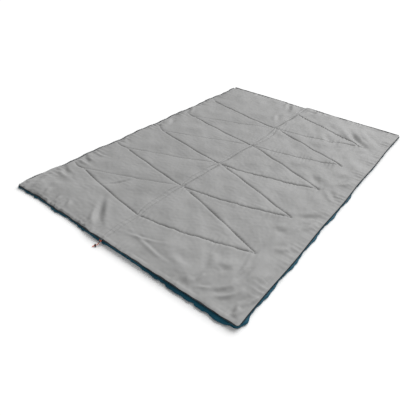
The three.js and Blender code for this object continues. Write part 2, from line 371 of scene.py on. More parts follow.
def add_cord():
    data = bpy.data.curves.new("puller_cord", "CURVE")
    data.dimensions = "3D"
    data.bevel_depth = CORD_DIAMETER / 2
    data.bevel_resolution = 5
    data.use_fill_caps = True
    spline = data.splines.new("POLY")
    spline.points.add(len(CORD_POINTS) - 1)
    for point, place in zip(spline.points, CORD_POINTS):
        point.co = (*place, 1)
    cord = bpy.data.objects.new("puller_cord", data)
    bpy.context.scene.collection.objects.link(cord)
    data.materials.append(CORD_PAINT.material)
    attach(cord, "puller")
    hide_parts("pull_cord")
    return cord


puller_cord = add_cord()


# ---- studio
FLOOR_REACH = 14.0
SUN_PLACE = (0.1, 3.2, 2.5)  # it shines from here towards the origin, from over the bag's head
SUN_SPREAD = 50  # degrees, as wide as a large softbox
SUN_STRENGTH = 3.7
WORLD_STRENGTH = 0.45


def add_floor():
    paint = Paint("studio_floor", 0.9, Base_Color=(0.90, 0.90, 0.90, 1), Specular_IOR_Level=0.0)
    corners = [(FLOOR_REACH * x, FLOOR_REACH * y, 0) for x, y in ((-1, -1), (1, -1), (1, 1), (-1, 1))]
    mesh_piece("studio_floor", corners, [(0, 1, 2, 3)], None, paint)


def add_soft_sun():
    data = bpy.data.lights.new("softbox_key", "SUN")
    data.angle = math.radians(SUN_SPREAD)
    data.energy = SUN_STRENGTH
    light = bpy.data.objects.new("softbox_key", data)
    light.rotation_euler = Vector(SUN_PLACE).to_track_quat("Z", "Y").to_euler()
    light.location = SUN_PLACE
    bpy.context.scene.collection.objects.link(light)


def add_studio():
    add_floor()
    world = bpy.data.worlds.new("studio")
    world.use_nodes = True
    background = world.node_tree.nodes["Background"]
    background.inputs["Color"].default_value = (1, 1, 1, 1)
    background.inputs["Strength"].default_value = WORLD_STRENGTH
    bpy.context.scene.world = world
    add_soft_sun()
    bpy.context.scene.view_settings.view_transform = "Standard"


add_studio()


# ---- how the cloth lies, in plan
def foot_line(x, column):
    """A value of FOOT_LINE at x, eased between its points."""
    table = np.array(FOOT_LINE)
    index = np.clip(np.searchsorted(table[:, 0], x) - 1, 0, len(table) - 2)
    share = smooth((x - table[index, 0]) / (table[index + 1, 0] - table[index, 0]))
    return table[index, column] * (1 - share) + table[index + 1, column] * share


def laid(x, y):
    """Where a point of the drawn, square bag lies once the cloth has been laid out by hand."""
    near_left = smooth((-x - HALF_WIDTH + 0.11) / 0.10)
    near_right = smooth((x - HALF_WIDTH + 0.11) / 0.10)
    near_head = smooth((y - HALF_LENGTH + 0.16) / 0.15)
    near_foot = smooth((-y - HALF_LENGTH + 0.14) / 0.13)
    shifted = x + np.where(x < 0, LEFT_SHIFT, RIGHT_SHIFT) * smooth(np.abs(x) / 0.35)
    shifted += near_left * (0.0050 * sine(y, 0.41, 0.1 * TURN) + 0.0026 * sine(y, 0.117))
    shifted += near_right * 0.0022 * sine(y, 0.57, 0.35 * TURN)
    drawn_in = -0.013 * smooth((0.30 + x) / 0.26) * smooth(-x / 0.012)
    poked_out = 0.012 * smooth((0.24 - x) / 0.20) * smooth(x / 0.012)
    notch = -0.006 * bell(x, 0.010)
    moved = y + near_head * (drawn_in + poked_out + notch) + near_foot * foot_line(x, 1)
    return shifted, moved


def lowered(x, y):
    """The share of its height that each point of the border keeps."""
    along_side = smooth((y + 1.06) / 0.12) * smooth((np.abs(x) - 0.64) / 0.07)
    along_head = smooth((y - 1.02) / 0.06)
    along_left_foot = smooth((-x - 0.05) / 0.15) * smooth((-y - 1.02) / 0.05)
    edge_drop = EDGE_DROP * np.maximum(along_side, along_head)
    return 1 - np.maximum(edge_drop, LEFT_FOOT_DROP * along_left_foot)


def rounded(x, y, inset, radius):
    """Squeezes the corner squares of a rectangle at this inset into quarter discs."""
    middle_x, middle_y = HALF_WIDTH - inset - radius, HALF_LENGTH - inset - radius
    a, b = (np.abs(x) - middle_x) / radius, (np.abs(y) - middle_y) / radius
    corner = (a > 0) & (b > 0)
    reach = np.maximum(a, b) / np.maximum(np.hypot(a, b), 1e-9)
    new_x = np.sign(x) * (middle_x + a * reach * radius)
    new_y = np.sign(y) * (middle_y + b * reach * radius)
    return np.where(corner, new_x, x), np.where(corner, new_y, y)


def spaced_half(length, fine, step, fine_reach, border):
    """Distances from 0 to length: fine near 0, then even, with a few named ones near the end."""
    near = np.arange(0, fine_reach, fine)
    last = length - max(border)
    far = np.linspace(fine_reach, last, max(2, round((last - fine_reach) / step)))
    ends = [length - b for b in sorted(border, reverse=True)[1:]] + [length]
    return np.concatenate([near, far, ends])


def plan_grid(inset, step, fine, border):
    """x and y of a grid over the whole drawn bag, out to this inset."""
    right = spaced_half(HALF_WIDTH - inset, fine, step, FOLD_GRID_REACH, border)
    head = spaced_half(HALF_LENGTH - inset, step, step, step * 2, border)
    return np.meshgrid(*(np.concatenate([-half[:0:-1], half]) for half in (right, head)))


# ---- seams
class Seam:
    """One stitched line: a chord with a bow towards the foot, and how hard it is drawn in."""

    def __init__(self, start, end, bow, depth=0.0, width=0.0, pucker=0.0, wander=0.0):
        self.start, self.end = np.array(start, float), np.array(end, float)
        self.bow, self.depth, self.width = bow, depth, width
        self.pucker, self.wander = pucker, wander
        self.length = np.linalg.norm(self.end - self.start)
        self.along = (self.end - self.start) / self.length
        self.side = np.array([-self.along[1], self.along[0]])
        if abs(self.along[0]) > abs(self.along[1]) and self.side[1] < 0:
            self.side = -self.side

    def sag(self, t):
        inside = np.clip(t, 0, 1)
        arch = 4 * inside * (1 - inside)
        return arch * (self.wander * sine(inside * self.length, 0.062) - self.bow)

    def measure(self, x, y):
        """(share of the length, distance along from either end, distance off the line)."""
        dx, dy = x - self.start[0], y - self.start[1]
        t = (dx * self.along[0] + dy * self.along[1]) / self.length
        off = dx * self.side[0] + dy * self.side[1] - self.sag(t)
        beyond = self.length * np.maximum(0, np.maximum(-t, t - 1))
        return t, beyond, off

    def points(self, step):
        t = np.linspace(0, 1, max(3, int(self.length / step)))
        return self.start + t[:, None] * self.along * self.length + self.sag(t)[:, None] * self.side


def node_place(k):
    return NODE_X[k], FIRST_NODE_Y + SEAM_PITCH * k


def make_seams():
    seams = []
    for k in range(NODE_COUNT - 1):
        x, y = node_place(k)
        next_x, next_y = node_place(k + 1)
        right_end, left_end = (RIGHT_END_X, y + RIGHT_RISE), (LEFT_END_X, y + LEFT_RISE)
        tuck_end = (LEFT_END_X - TUCK_REACH, left_end[1] + LEFT_TUCK_RISE[k])
        last = k == NODE_COUNT - 2
        right_out = RIGHT_OUT_FAINT if k > 2 else RIGHT_OUT
        right_back = RIGHT_BACK_LAST if last else RIGHT_BACK
        seams.append(Seam((x + RIGHT_START, y), right_end, *right_out))
        seams.append(Seam(right_end, (next_x + RIGHT_START, next_y), *right_back))
        seams.append(Seam((x + LEFT_START, y), left_end, *LEFT_OUT))
        if not last:
            seams.append(Seam(left_end, (next_x - 0.040, next_y - 0.012), *LEFT_BACK))
        seams.append(Seam(left_end, tuck_end, *LEFT_TUCK))
    return seams


def band_section(y):
    """(share of the way from one node to the next, that stretch's row of the band table)."""
    index = np.clip(np.floor((y - FIRST_NODE_Y) / SEAM_PITCH), -1, NODE_COUNT - 1).astype(int)
    below = (y + HALF_LENGTH) / (FIRST_NODE_Y + HALF_LENGTH)
    above = (y - node_place(NODE_COUNT - 1)[1]) / 0.2
    share = (y - FIRST_NODE_Y) / SEAM_PITCH - index
    share = np.where(index < 0, below, np.where(index > NODE_COUNT - 2, above, share))
    return np.clip(share, 0, 1), np.array([BAND_FOOT] + BAND + [BAND_HEAD])[index + 1]


def band_edge(y, side):
    """x of the band's left (-1) or right (+1) seam at each y: pinched in at the nodes."""
    knot_y = [-HALF_LENGTH] + [node_place(k)[1] for k in range(NODE_COUNT)] + [HALF_LENGTH]
    middle = np.interp(y, knot_y, [0.0] + NODE_X + [0.002])
    share, row = band_section(y)
    swell = np.sin(math.pi * share) ** 0.45
    past_nodes = (y < FIRST_NODE_Y) | (y > node_place(NODE_COUNT - 1)[1])
    swell = np.where(past_nodes, np.maximum(swell, 0.6), swell)
    half = NODE_HALF_BAND + (row[..., 1] - NODE_HALF_BAND) * swell
    return middle + row[..., 0] * swell + side * half


SEAMS = make_seams()


def puckers(seam, t, off, seed):
    """Short creases square to a seam, uneven along it and gone a few centimetres off it."""
    s = t * seam.length
    uneven = 1.6 * sine(s, 0.131, seed) + 1.1 * sine(s, 0.073, 2 * seed)
    ridge = np.cos(TURN * s / 0.024 + uneven)
    strength = 0.55 + 0.45 * sine(s, 0.19, 3.1 * seed)
    away = np.abs(off)
    fade = 0.7 * np.exp(-away / 0.015) + 0.3 * np.exp(-away / 0.045)
    return ridge * strength * fade * (1 - np.exp(-away / 0.003))


def draw_in(x, y):
    """(how far the seams pull the lining down, the wide hollow round them, puckers, nearest seam)."""
    pull, broad, ripple = np.zeros_like(x), np.zeros_like(x), np.zeros_like(x)
    nearest = np.full(x.shape, 1.0)
    for number, seam in enumerate(SEAMS):
        t, beyond, off = seam.measure(x, y)
        distance = np.hypot(off, beyond)
        fade_out = bell(beyond, 0.02)
        uneven = 1 - 0.22 * sine(t * seam.length, 0.21, number)
        firm = seam.depth / FULL_DEPTH
        hollow = 0.0012 * np.exp(-distance / 0.010) + 0.0018 * np.exp(-distance / 0.05)
        pull = np.maximum(pull, seam.depth * uneven * np.exp(-distance / seam.width) * fade_out)
        broad = np.maximum(broad, firm * hollow)
        ripple += PUCKER_HEIGHT * seam.pucker * puckers(seam, t, off, number) * fade_out
        nearest = np.minimum(nearest, distance + 0.004 * (firm < 0.4))
    return pull, broad, ripple, nearest


def band_form(x, y):
    """(how far the band's two seams pull the lining down, the tube between them, its creases)."""
    _, row = band_section(y)
    left, right = band_edge(y, -1), band_edge(y, 1)
    pull = np.maximum(row[..., 2] * np.exp(-np.abs(x - left) / 0.0020),
                      row[..., 3] * np.exp(-np.abs(x - right) / 0.0020))
    pull = BAND_DEPTH * pull * (1 - 0.2 * sine(y, 0.17))
    inside = np.clip((x - left) / np.maximum(right - left, 1e-4), 0, 1)
    tube = TUBE_HEIGHT * np.sin(math.pi * inside) ** 0.7 * np.minimum(row[..., 3], 1)
    creases = 0.0009 * sine(y, 0.021, 3 * sine(y, 0.11))
    ripple = creases * np.exp(-np.abs(x - (left + right) / 2) / 0.03)
    return pull, tube, ripple


# Soft folds laid by hand, in millimetres: x and y of both ends, height, half width.
FOLDS = [
    (724, -1070, 716, -1010, 5, 11), (716, -1010, 755, -905, 5, 13),
    (750, -1050, 760, -960, -4.2, 10), (606, -1037, 676, -952, 3.4, 10),
    (585, -1020, 650, -935, -2.2, 10), (495, -1016, 499, -950, 2.6, 9),
    (529, -1031, 574, -994, 2.8, 9), (512, -930, 449, -813, 3, 20),
    (532, -894, 586, -849, -3, 22), (651, -944, 669, -748, 3, 15),
    (620, -900, 610, -760, 2.2, 10), (735, -860, 760, -771, -4.2, 22),
    (435, -1040, 497, -1060, -3.4, 22), (303, -954, 424, -984, 2.6, 22),
    (593, -504, 650, -460, -3.4, 26), (660, -640, 720, -560, 3.2, 18),
    (690, -420, 735, -300, 3.6, 18), (640, -330, 730, -240, -3, 20),
    (640, 20, 735, -90, 3.6, 20), (660, 90, 735, 200, 3.4, 20),
    (650, 160, 700, 290, -3, 24), (500, 130, 590, 60, -2.4, 24),
    (400, 890, 600, 680, 4, 22), (460, 900, 640, 700, -3.4, 20),
    (520, 960, 690, 760, 3.6, 24), (640, 560, 700, 700, -4, 30),
    (300, 720, 420, 560, 2.6, 26), (80, 1000, 100, 1070, -5, 22),
    (130, 980, 120, 1070, 3.6, 16), (-60, 940, -110, 1060, 3.6, 14),
    (-100, 940, -150, 1060, -2.8, 14), (-265, -856, -82, -1036, -5, 18),
    (-226, -943, -119, -1060, 3.4, 14), (-705, -1080, -712, -860, -6, 22),
    (-640, -1060, -655, -960, 3, 16), (-520, -1070, -560, -990, 2.6, 12),
    (-430, -1070, -450, -1000, 2.6, 12), (-340, -1060, -380, -990, 2.6, 12),
    (-607, -969, -531, -984, -3, 24), (-680, -842, -559, -871, 3.4, 14),
    (-690, -800, -580, -830, -2.6, 12), (-700, -641, -602, -665, -3.6, 12),
    (-705, -680, -590, -700, 3.6, 12), (-684, -566, -596, -559, 3, 10),
    (-355, -771, -276, -623, -2.6, 9), (-660, 30, -700, 150, 4.2, 16),
    (-620, 60, -660, 160, -3.6, 18), (-650, 330, -700, 440, 3.8, 14),
    (-660, -330, -705, -290, 3.6, 14), (-120, 800, -60, 660, 2.4, 18),
    (60, -960, 330, -1010, 2.2, 10), (40, -990, 240, -930, 2.2, 9),
]
FOLD_GAIN = 2.1  # every fold in the table is raised by this
FOLD_BOW = 0.008


def hand_folds(x, y):
    total = np.zeros_like(x)
    for row in FOLDS:
        start_x, start_y, end_x, end_y, height, width = [value / 1000 for value in row]
        t, beyond, off = Seam((start_x, start_y), (end_x, end_y), FOLD_BOW).measure(x, y)
        across = bell(off, width) - 0.55 * bell(off - 1.5 * width, width)
        along = bell(beyond, 0.03) * np.sin(math.pi * np.clip(t, 0.08, 0.92))
        total += FOLD_GAIN * height * across * along
    return total


def gather(along, wavelength, seed):
    """Uneven sharp-topped gathers along an edge, from about -1 to 1."""
    phase = TURN * along / wavelength + 2.2 * sine(along, 0.17, seed)
    strength = 0.62 + 0.38 * sine(along, 0.29, 2.3 * seed)
    return strength * (0.55 - 1.5 * np.abs(np.sin(phase / 2)) ** 0.8 + 0.25 * np.sin(2.7 * phase))


def edge_gathers(x, y, from_side, from_end):
    """Short gathers square to the edges, where the zip draws the lining up."""
    side = gather(y, 0.041, 0.8) * np.where(x < 0, 1.5, 0.7)
    end = gather(x, 0.037, 2.0) * np.where(x < 0, 1.6, 1.0)
    side = side * np.exp(-from_side / 0.034) * (1 - np.exp(-from_side / 0.007))
    end = end * np.exp(-from_end / 0.032) * (1 - np.exp(-from_end / 0.007))
    return SIDE_GATHER_HEIGHT * side + END_GATHER_HEIGHT * end


def soft_relief(x, y):
    """The hand-laid folds and the uneven lie of the filling under the lining."""
    slacker = 0.75 + 0.35 * smooth(x / 0.5) + 0.25 * smooth((-x - 0.45) / 0.2)
    uneven = 0.0018 * waves(x, y, 0.34, 5) + 0.0030 * slacker * waves(x, y, 0.16, 6)
    return uneven + 0.0008 * slacker * waves(x, y, 0.060, 7, 1.7) + hand_folds(x, y)


def lowest_lining(x, y, from_edge):
    """The lining stays just clear of the zip's tape near its edge, and above the floor elsewhere."""
    over_tape = (LINING_EDGE_Z + 0.0009 * smooth(from_edge / 0.004)) * lowered(x, y)
    return np.maximum(LOWEST_SEAM_Z, over_tape * smooth((0.028 - from_edge) / 0.008))


def lining_height(x, y, from_side, from_end, creased=True):
    """x and y as the cloth lies; from_side and from_end are distances in from the lining's edges."""
    from_edge = np.minimum(from_side, from_end)
    pull, broad, ripple, _ = draw_in(x, y)
    band_pull, tube, band_ripple = band_form(x, y)
    height = CREST_Z + ripple + band_ripple + tube - broad
    if creased:
        height += soft_relief(x, y) + edge_gathers(x, y, from_side, from_end)
    height = height - np.maximum(pull, band_pull)
    height += 0.0010 * bell(from_edge - 0.022, 0.016)
    pressed = SOFT_TOP_Z + SOFT_TOP_REACH * np.tanh((height - SOFT_TOP_Z) / SOFT_TOP_REACH)
    height = np.where(height > SOFT_TOP_Z, pressed, height)
    rim = np.exp(-from_edge / (0.0065 + 0.0045 * smooth((y - 1.0) / 0.05)))
    height = height * (1 - rim) + LINING_EDGE_Z * lowered(x, y) * rim
    return np.maximum(height, lowest_lining(x, y, from_edge))


def snapped(x, y):
    """Draws the grid rows next to each seam, and the columns next to the band's, onto them.

    So each groove is narrow and clean.
    """
    rows = len(y)
    for seam in SEAMS:
        line = seam.points(0.01)
        line = line[np.argsort(line[:, 0])]
        for c in np.nonzero((x[rows // 2] > line[0, 0]) & (x[rows // 2] < line[-1, 0]))[0]:
            target = np.interp(x[rows // 2, c], line[:, 0], line[:, 1])
            row = int(np.argmin(np.abs(y[:, c] - target)))
            if 6 < row < rows - 7:
                y[row, c] = target
                y[row - 1, c], y[row + 1, c] = target - CREASE, target + CREASE
                y[row - 2, c] = (y[row - 1, c] + y[row - 3, c]) / 2
                y[row + 2, c] = (y[row + 1, c] + y[row + 3, c]) / 2
    y[7:-7] = np.sort(y[7:-7], axis=0)
    for side in (-1, 1):
        for r in range(len(x)):
            c = int(np.argmin(np.abs(x[r] - band_edge(y[r, x.shape[1] // 2], side))))
            x[r, c] = band_edge(y[r, c], side)
            x[r, c - side], x[r, c + side] = x[r, c] - side * CREASE, x[r, c] + side * CREASE
    return np.sort(x, axis=1), y


# ---- cloth simulation
SIM_FRAMES = 20
SIM_SLACK = 0.024  # the most that the cloth is longer than the ground it covers
SIM_CAP = 0.0045  # how far any point may move
SIM_LEVELS = 20  # the weights are rounded to this many steps
CLOTH = {
    "quality": 5, "mass": 0.002, "tension_stiffness": 12, "compression_stiffness": 12,
    "shear_stiffness": 4, "bending_stiffness": 0.012, "tension_damping": 3, "compression_damping": 3,
    "air_damping": 3, "use_pressure": True, "uniform_pressure_force": 0.03,
    "vertex_group_mass": "hold", "vertex_group_shrink": "slack", "shrink_min": 0,
    "shrink_max": -SIM_SLACK,
}
EVERY_OTHER = (slice(None, None, 2),) * 2  # of the rows and columns; between() puts the rest back


def cloth_group(piece, name, weights):
    group = piece.vertex_groups.new(name=name)
    levels = np.round(np.clip(weights.ravel(), 0, 1) * SIM_LEVELS).astype(int)
    for level in range(1, SIM_LEVELS + 1):
        members = np.nonzero(levels == level)[0]
        if len(members):
            group.add(members.tolist(), level / SIM_LEVELS, "REPLACE")


def simulate(x, y, z, hold, slack):
    """Lets the lining swell and crumple between its seams, and returns how far each point moved."""
    points = as_points(x, y, z)
    piece = mesh_piece("lining_sim", points, grid_faces(*x.shape), None, None)
    cloth_group(piece, "hold", hold)
    cloth_group(piece, "slack", slack)
    modifier = piece.modifiers.new("cloth", "CLOTH")
    for name, value in CLOTH.items():
        setattr(modifier.settings, name, value)
    modifier.settings.effector_weights.gravity = 0
    modifier.collision_settings.use_collision = False
    modifier.point_cache.frame_start = 1
    modifier.point_cache.frame_end = SIM_FRAMES
    for moment in range(1, SIM_FRAMES + 1):
        bpy.context.scene.frame_set(moment)
    shown = piece.evaluated_get(bpy.context.evaluated_depsgraph_get()).to_mesh()
    settled = np.zeros(len(points) * 3)
    shown.vertices.foreach_get("co", settled)
    moved = settled.reshape(-1, 3) - points
    bpy.data.objects.remove(piece)
    bpy.context.scene.frame_set(1)
    return moved.reshape(*x.shape, 3)


def between(values, axis):
    """Puts a smooth midpoint between each two grid values along one axis."""
    values = np.moveaxis(values, axis, 0)
    before = np.concatenate([values[:1], values[:-2]])
    after = np.concatenate([values[2:], values[-1:]])
    middle = (9 * (values[:-1] + values[1:]) - before - after) / 16
    fine = np.empty((2 * len(values) - 1, *values.shape[1:]))
    fine[0::2], fine[1::2] = values, middle
    return np.moveaxis(fine, 0, axis)


def crumpled(x, y, z, from_side, from_end):
    """The lining's grid after the simulation, with the seams and the border where they were."""
    from_edge = np.minimum(from_side, from_end)
    from_band = np.minimum(np.abs(x - band_edge(y, -1)), np.abs(x - band_edge(y, 1)))
    held = (draw_in(x, y)[3] < 0.0055) | (from_band < 0.0035) | (from_edge < 0.006)
    hold = held.astype(float)
    patchy = 0.55 + 0.45 * waves(x, y, 0.30, 21)
    at_edge = np.exp(-from_side / 0.08) + 0.7 * np.exp(-from_end / 0.07)
    slack = np.clip(0.30 + 0.35 * patchy + 0.35 * at_edge, 0, 1)
    plain = lining_height(x, y, from_side, from_end, creased=False)
    moved = simulate(*(grid[EVERY_OTHER] for grid in (x, y, plain, hold, slack)))
    moved = between(between(moved, 0), 1)
    moved *= (1 - smooth(1.4 - from_edge / 0.010))[..., None]
    size = np.linalg.norm(moved, axis=2, keepdims=True)
    moved *= SIM_CAP * np.tanh(size / SIM_CAP) / np.maximum(size, 1e-9)
    settled = np.clip(z + moved[..., 2], lowest_lining(x, y, from_edge), HIGHEST_Z)
    return x + moved[..., 0], y + moved[..., 1], settled


# ---- lining
LINING_CORNER = 0.0075
SLIDER_ROOM = 0.0034  # the lining's foot edge keeps this much further in where the slider parks
LINING_BORDER = [0.0, 0.0030, 0.0065, 0.0110, 0.0160]


def lining_points():
    grid_x, grid_y = plan_grid(LINING_INSET, GRID_STEP, FOLD_STEP, LINING_BORDER)
    from_side = HALF_WIDTH - LINING_INSET - np.abs(grid_x)
    from_end = HALF_LENGTH - LINING_INSET - np.abs(grid_y)
    x, y = rounded(grid_x, grid_y, LINING_INSET, LINING_CORNER)
    x, y = laid(x, y)
    lip = np.where(x > 0, RIGHT_LIP, LEFT_LIP * (1 - 1.8 * bell(y - LEFT_FLOP_Y, 0.06)))
    x -= np.sign(x) * lip * smooth(1 - from_side / 0.03) * smooth((y + 1.05) / 0.06)
    uneven = 1 + 0.6 * sine(x, 0.187, 0.8) + 0.5 * sine(x, 0.071)
    near_fold = 1 - smooth((np.abs(x) - 0.034) / 0.025)
    drawn = np.where(x < 0, 0.0030, 0.0019) * uneven * (1 - near_fold) + SLIDER_ROOM * near_fold
    y += drawn * smooth(1 - from_end / 0.03) * (y < 0)
    x, y = snapped(x, y)
    z = lining_height(x, y, from_side, from_end)
    return crumpled(x, y, z, from_side, from_end)


def add_rings(points, faces, loop, rings, flip=False):
    """Carries a border loop on through closed rings: (how far out in plan, height) for each one."""
    base = points[loop]
    normal = outward(base)
    points, faces = [points], [faces]
    for number, (out, height) in enumerate(rings):
        ring = base.copy()
        ring[:, :2] += normal * np.reshape(out, (-1, 1))
        ring[:, 2] = height * lowered(ring[:, 0], ring[:, 1])
        indices = np.arange(len(loop)) + len(points[0]) + number * len(loop)
        points.append(ring)
        faces.append(ring_faces(loop, indices, flip))
        loop = indices
    return np.vstack(points), np.vstack(faces)


def add_lining():
    x, y, z = lining_points()
    roll = [(0.0007, LINING_EDGE_Z - 0.0003), (0.0006, LINING_EDGE_Z - 0.0004),
            (-0.0035, LINING_EDGE_Z - 0.0005)]
    points, faces = add_rings(as_points(x, y, z), grid_faces(*x.shape), grid_loop(*x.shape), roll, flip=True)
    return mesh_piece("lining", points, faces, "lining_cloth", LINING_PAINT)


lining = add_lining()


# ---- shell
SHELL_INSET = 0.007
SHELL_TUCK = 0.0045  # how far the left side and the head are tucked in
# The side wall from the floor up to the zip: (inset, height, how much the bulge moves it).
SIDE_PROFILE = [
    (0.0040, 0.0012, 0.4), (0.0018, 0.0030, 0.75), (0.0004, 0.0058, 1.0), (0.0004, 0.0088, 1.0),
    (0.0020, 0.0115, 0.7), (0.0052, 0.0142, 0.35), (0.0092, 0.0162, 0.1), (0.0124, 0.0182, 0.0),
    (0.0140, 0.0196, 0.0), (0.0230, 0.0199, 0.0),
]


def bulge(x, y):
    """How far the puffed side stands out or tucks in, in metres, along the outer line."""
    foot = smooth((-y - HALF_LENGTH + 0.06) / 0.04)
    head = smooth((y - HALF_LENGTH + 0.06) / 0.04)
    ripple = 0.0026 * sine(x, 0.083, 1.3 * sine(x, 0.27)) + 0.0018 * sine(x, 0.047, 1.9 * sine(x, 0.19))
    fine = 0.0013 * sine(y, 0.063, 1.5 * sine(y, 0.31))
    right_line = 0.0005 + 0.0040 * sine(y, 0.225, 0.1 * TURN) - 0.0085 * smooth((y - 0.05) / 0.25)
    right_line = right_line + 0.0065 * bell(y + 1.045, 0.035)
    side_line = np.where(x > 0, right_line, -SHELL_TUCK) + fine
    foot_and_head = foot * (foot_line(x, 2) + ripple) + head * (0.5 * ripple - SHELL_TUCK)
    return foot_and_head + (1 - foot - head) * side_line


def shell_underside(x, y):
    pull, broad, ripple, _ = draw_in(x, y)
    band_pull, _, _ = band_form(x, y)
    drawn = np.maximum(pull / FULL_DEPTH + broad / 0.012, band_pull / BAND_DEPTH)
    height = UNDERSIDE_Z + 0.0007 * (1 + waves(x, y, 0.12, 15)) + 0.5 * np.abs(ripple)
    return np.clip(height + PINCH_Z * np.clip(drawn, 0, 1), 0.0003, 0.0075)


def add_shell():
    grid_x, grid_y = plan_grid(SHELL_INSET, 0.0085, 0.0042, [0.0, 0.004, 0.010])
    from_edge = np.minimum(HALF_WIDTH - np.abs(grid_x), HALF_LENGTH - np.abs(grid_y)) - SHELL_INSET
    x, y = rounded(grid_x, grid_y, SHELL_INSET, CORNER_RADIUS - SHELL_INSET)
    x, y = laid(x, y)
    x, y = snapped(x, y)
    z = shell_underside(x, y)
    z = UNDERSIDE_Z + (z - UNDERSIDE_Z) * smooth(from_edge / 0.02)
    points, loop = as_points(x, y, z), grid_loop(*x.shape)
    border_x, border_y = points[loop, 0], points[loop, 1]
    extra = bulge(border_x, border_y)
    lift = 0.0006 * sine(border_x + border_y, 0.047)
    rings = [(SHELL_INSET - inset + share * extra, height + share * lift)
             for inset, height, share in SIDE_PROFILE]
    points, faces = add_rings(points, grid_faces(*x.shape, flip=True), loop, rings)
    return mesh_piece("outer_shell", points, faces, "shell_cloth", SHELL_PAINT)


shell = add_shell()


def surface_of(piece):
    points = [v.co for v in piece.data.vertices]
    return BVHTree.FromPolygons(points, [tuple(p.vertices) for p in piece.data.polygons])


lining_surface = surface_of(lining)
shell_surface = surface_of(shell)


def height_on(surface, x, y, from_above):
    start = Vector((x, y, 0.1 if from_above else -0.05))
    hit = surface.ray_cast(start, Vector((0, 0, -1 if from_above else 1)))
    return hit[0].z if hit[0] is not None else None


# ---- batting
BATTING_INSET = 0.020
ROOM_ABOVE, ROOM_BELOW = 0.0030, 0.0026  # how far the batting keeps from the lining and the shell
THINNEST_BATTING = 0.0008
BATTING_EDGE_Z, BATTING_TOP_Z = 0.0150, 0.0240


def with_neighbours(heights):
    """The grid and its eight shifted copies, so that each value meets its neighbours."""
    padded = np.pad(heights, 1, mode="edge")
    rows, columns = heights.shape
    return [padded[r:r + rows, c:c + columns] for r in range(3) for c in range(3)]


def add_batting():
    """The fibre filling: a closed pad that keeps off the lining above it and the shell below."""
    x, y = laid(*plan_grid(BATTING_INSET, 0.011, 0.0055, [0.0, 0.010]))
    top, low = np.zeros(x.shape), np.zeros(x.shape)
    for place in np.ndindex(x.shape):
        above = height_on(lining_surface, x[place], y[place], True) or LINING_EDGE_Z
        below = height_on(shell_surface, x[place], y[place], False) or UNDERSIDE_Z
        top[place], low[place] = above - ROOM_ABOVE, below + ROOM_BELOW
    low = np.max(with_neighbours(low), axis=0)
    top = np.maximum(np.min(with_neighbours(top), axis=0), low + THINNEST_BATTING)
    highest = np.full(x.shape, BATTING_EDGE_Z)
    highest[1:-1, 1:-1] = BATTING_TOP_Z
    upper, lower = as_points(x, y, np.minimum(top, highest)), as_points(x, y, low)
    loop = grid_loop(*x.shape)
    faces = np.vstack([grid_faces(*x.shape), grid_faces(*x.shape, len(upper), flip=True),
                       ring_faces(loop + len(upper), loop)])
    return mesh_piece("batting", np.vstack([upper, lower]), faces, "batting", BATTING_PAINT)


batting = add_batting()


# ---- zip line, tapes and coils
ZIP_END_Y = COIL_HIGH.y
COIL_INSET = 0.005
TAPE_INSET = 0.0073
TAPE_WIDTH = 0.0140
COIL_PITCH = 0.0027
COIL_TURN_POINTS = 9
COIL_REACH = (0.00155, 0.00155, 0.00115)  # of the filament's middle from the coil's, along x, y and z
FILAMENT_RADIUS = 0.00042
FILAMENT_SIDES = 4


def slider_end(side, node):
    """x of a CAD tape's or coil's end by the slider."""
    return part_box(node)[0 if side > 0 else 1].x


def zip_line(side, inset, start_x, end_y, step):
    """Points in plan along one half's zip: out along the foot, round the corner, up the side."""
    radius = CORNER_RADIUS - inset
    foot_y = -(HALF_LENGTH - inset)
    corner_x, corner_y = HALF_WIDTH - CORNER_RADIUS, -(HALF_LENGTH - CORNER_RADIUS)
    along = np.arange(abs(start_x), corner_x, step)
    if start_x < 0 < side:
        along = np.concatenate([[start_x], np.arange(0, corner_x, step)])
    angles = np.linspace(-math.pi / 2, 0, max(6, round(radius * 1.57 / step)))
    up = np.arange(corner_y + step, end_y, step)
    side_x = np.full(len(up) + 1, corner_x + radius)
    x = np.concatenate([along, corner_x + radius * np.cos(angles), side_x])
    y = np.concatenate([np.full(len(along), foot_y), corner_y + radius * np.sin(angles), up, [end_y]])
    return np.stack(laid(x * side, y), 1)


def resampled(line, step):
    lengths = np.concatenate([[0], np.cumsum(np.linalg.norm(np.diff(line, axis=0), axis=1))])
    at = np.arange(0, lengths[-1], step)
    return np.stack([np.interp(at, lengths, line[:, i]) for i in range(line.shape[1])], 1)


def directions(line):
    return unit(np.gradient(line, axis=0))


def swept(sections):
    """Points and faces of a closed bar through sections, each an array of the same few points."""
    count, size = len(sections), len(sections[0])
    faces = []
    for s in range(size):
        a = np.arange(count - 1) * size + s
        b = np.arange(count - 1) * size + (s + 1) % size
        faces.append(np.stack([a, b, b + size, a + size], 1))
    faces = [tuple(f) for f in np.vstack(faces)]
    faces.append(tuple(range(size))[::-1])
    faces.append(tuple((count - 1) * size + i for i in range(size)))
    return np.vstack(sections), faces


def add_tape(side, side_name):
    node = side_name + "_zip_tape"
    line = resampled(zip_line(side, TAPE_INSET, slider_end(side, node), ZIP_END_Y, 0.004), 0.005)
    along = directions(line)
    inward = np.stack([-along[:, 1], along[:, 0]], 1) * side
    low, high = TAPE_LOW.z + 0.0001, TAPE_HIGH.z - 0.0001
    profile = [(0.0, low + 0.0002), (0.0004, low), (TAPE_WIDTH, low), (TAPE_WIDTH, high), (0.0072, high),
               (0.0060, high + 0.0002), (0.0040, high), (0.0004, high), (0.0, high - 0.0002)]
    sections = [np.array([(*(point + normal * reach), z * level) for reach, z in profile[::side]])
                for point, normal, level in zip(line, inward, lowered(line[:, 0], line[:, 1]))]
    riding_piece(side_name + "_tape", *swept(sections), "zip_tape", TAPE_PAINT, side_name + "_half", node)


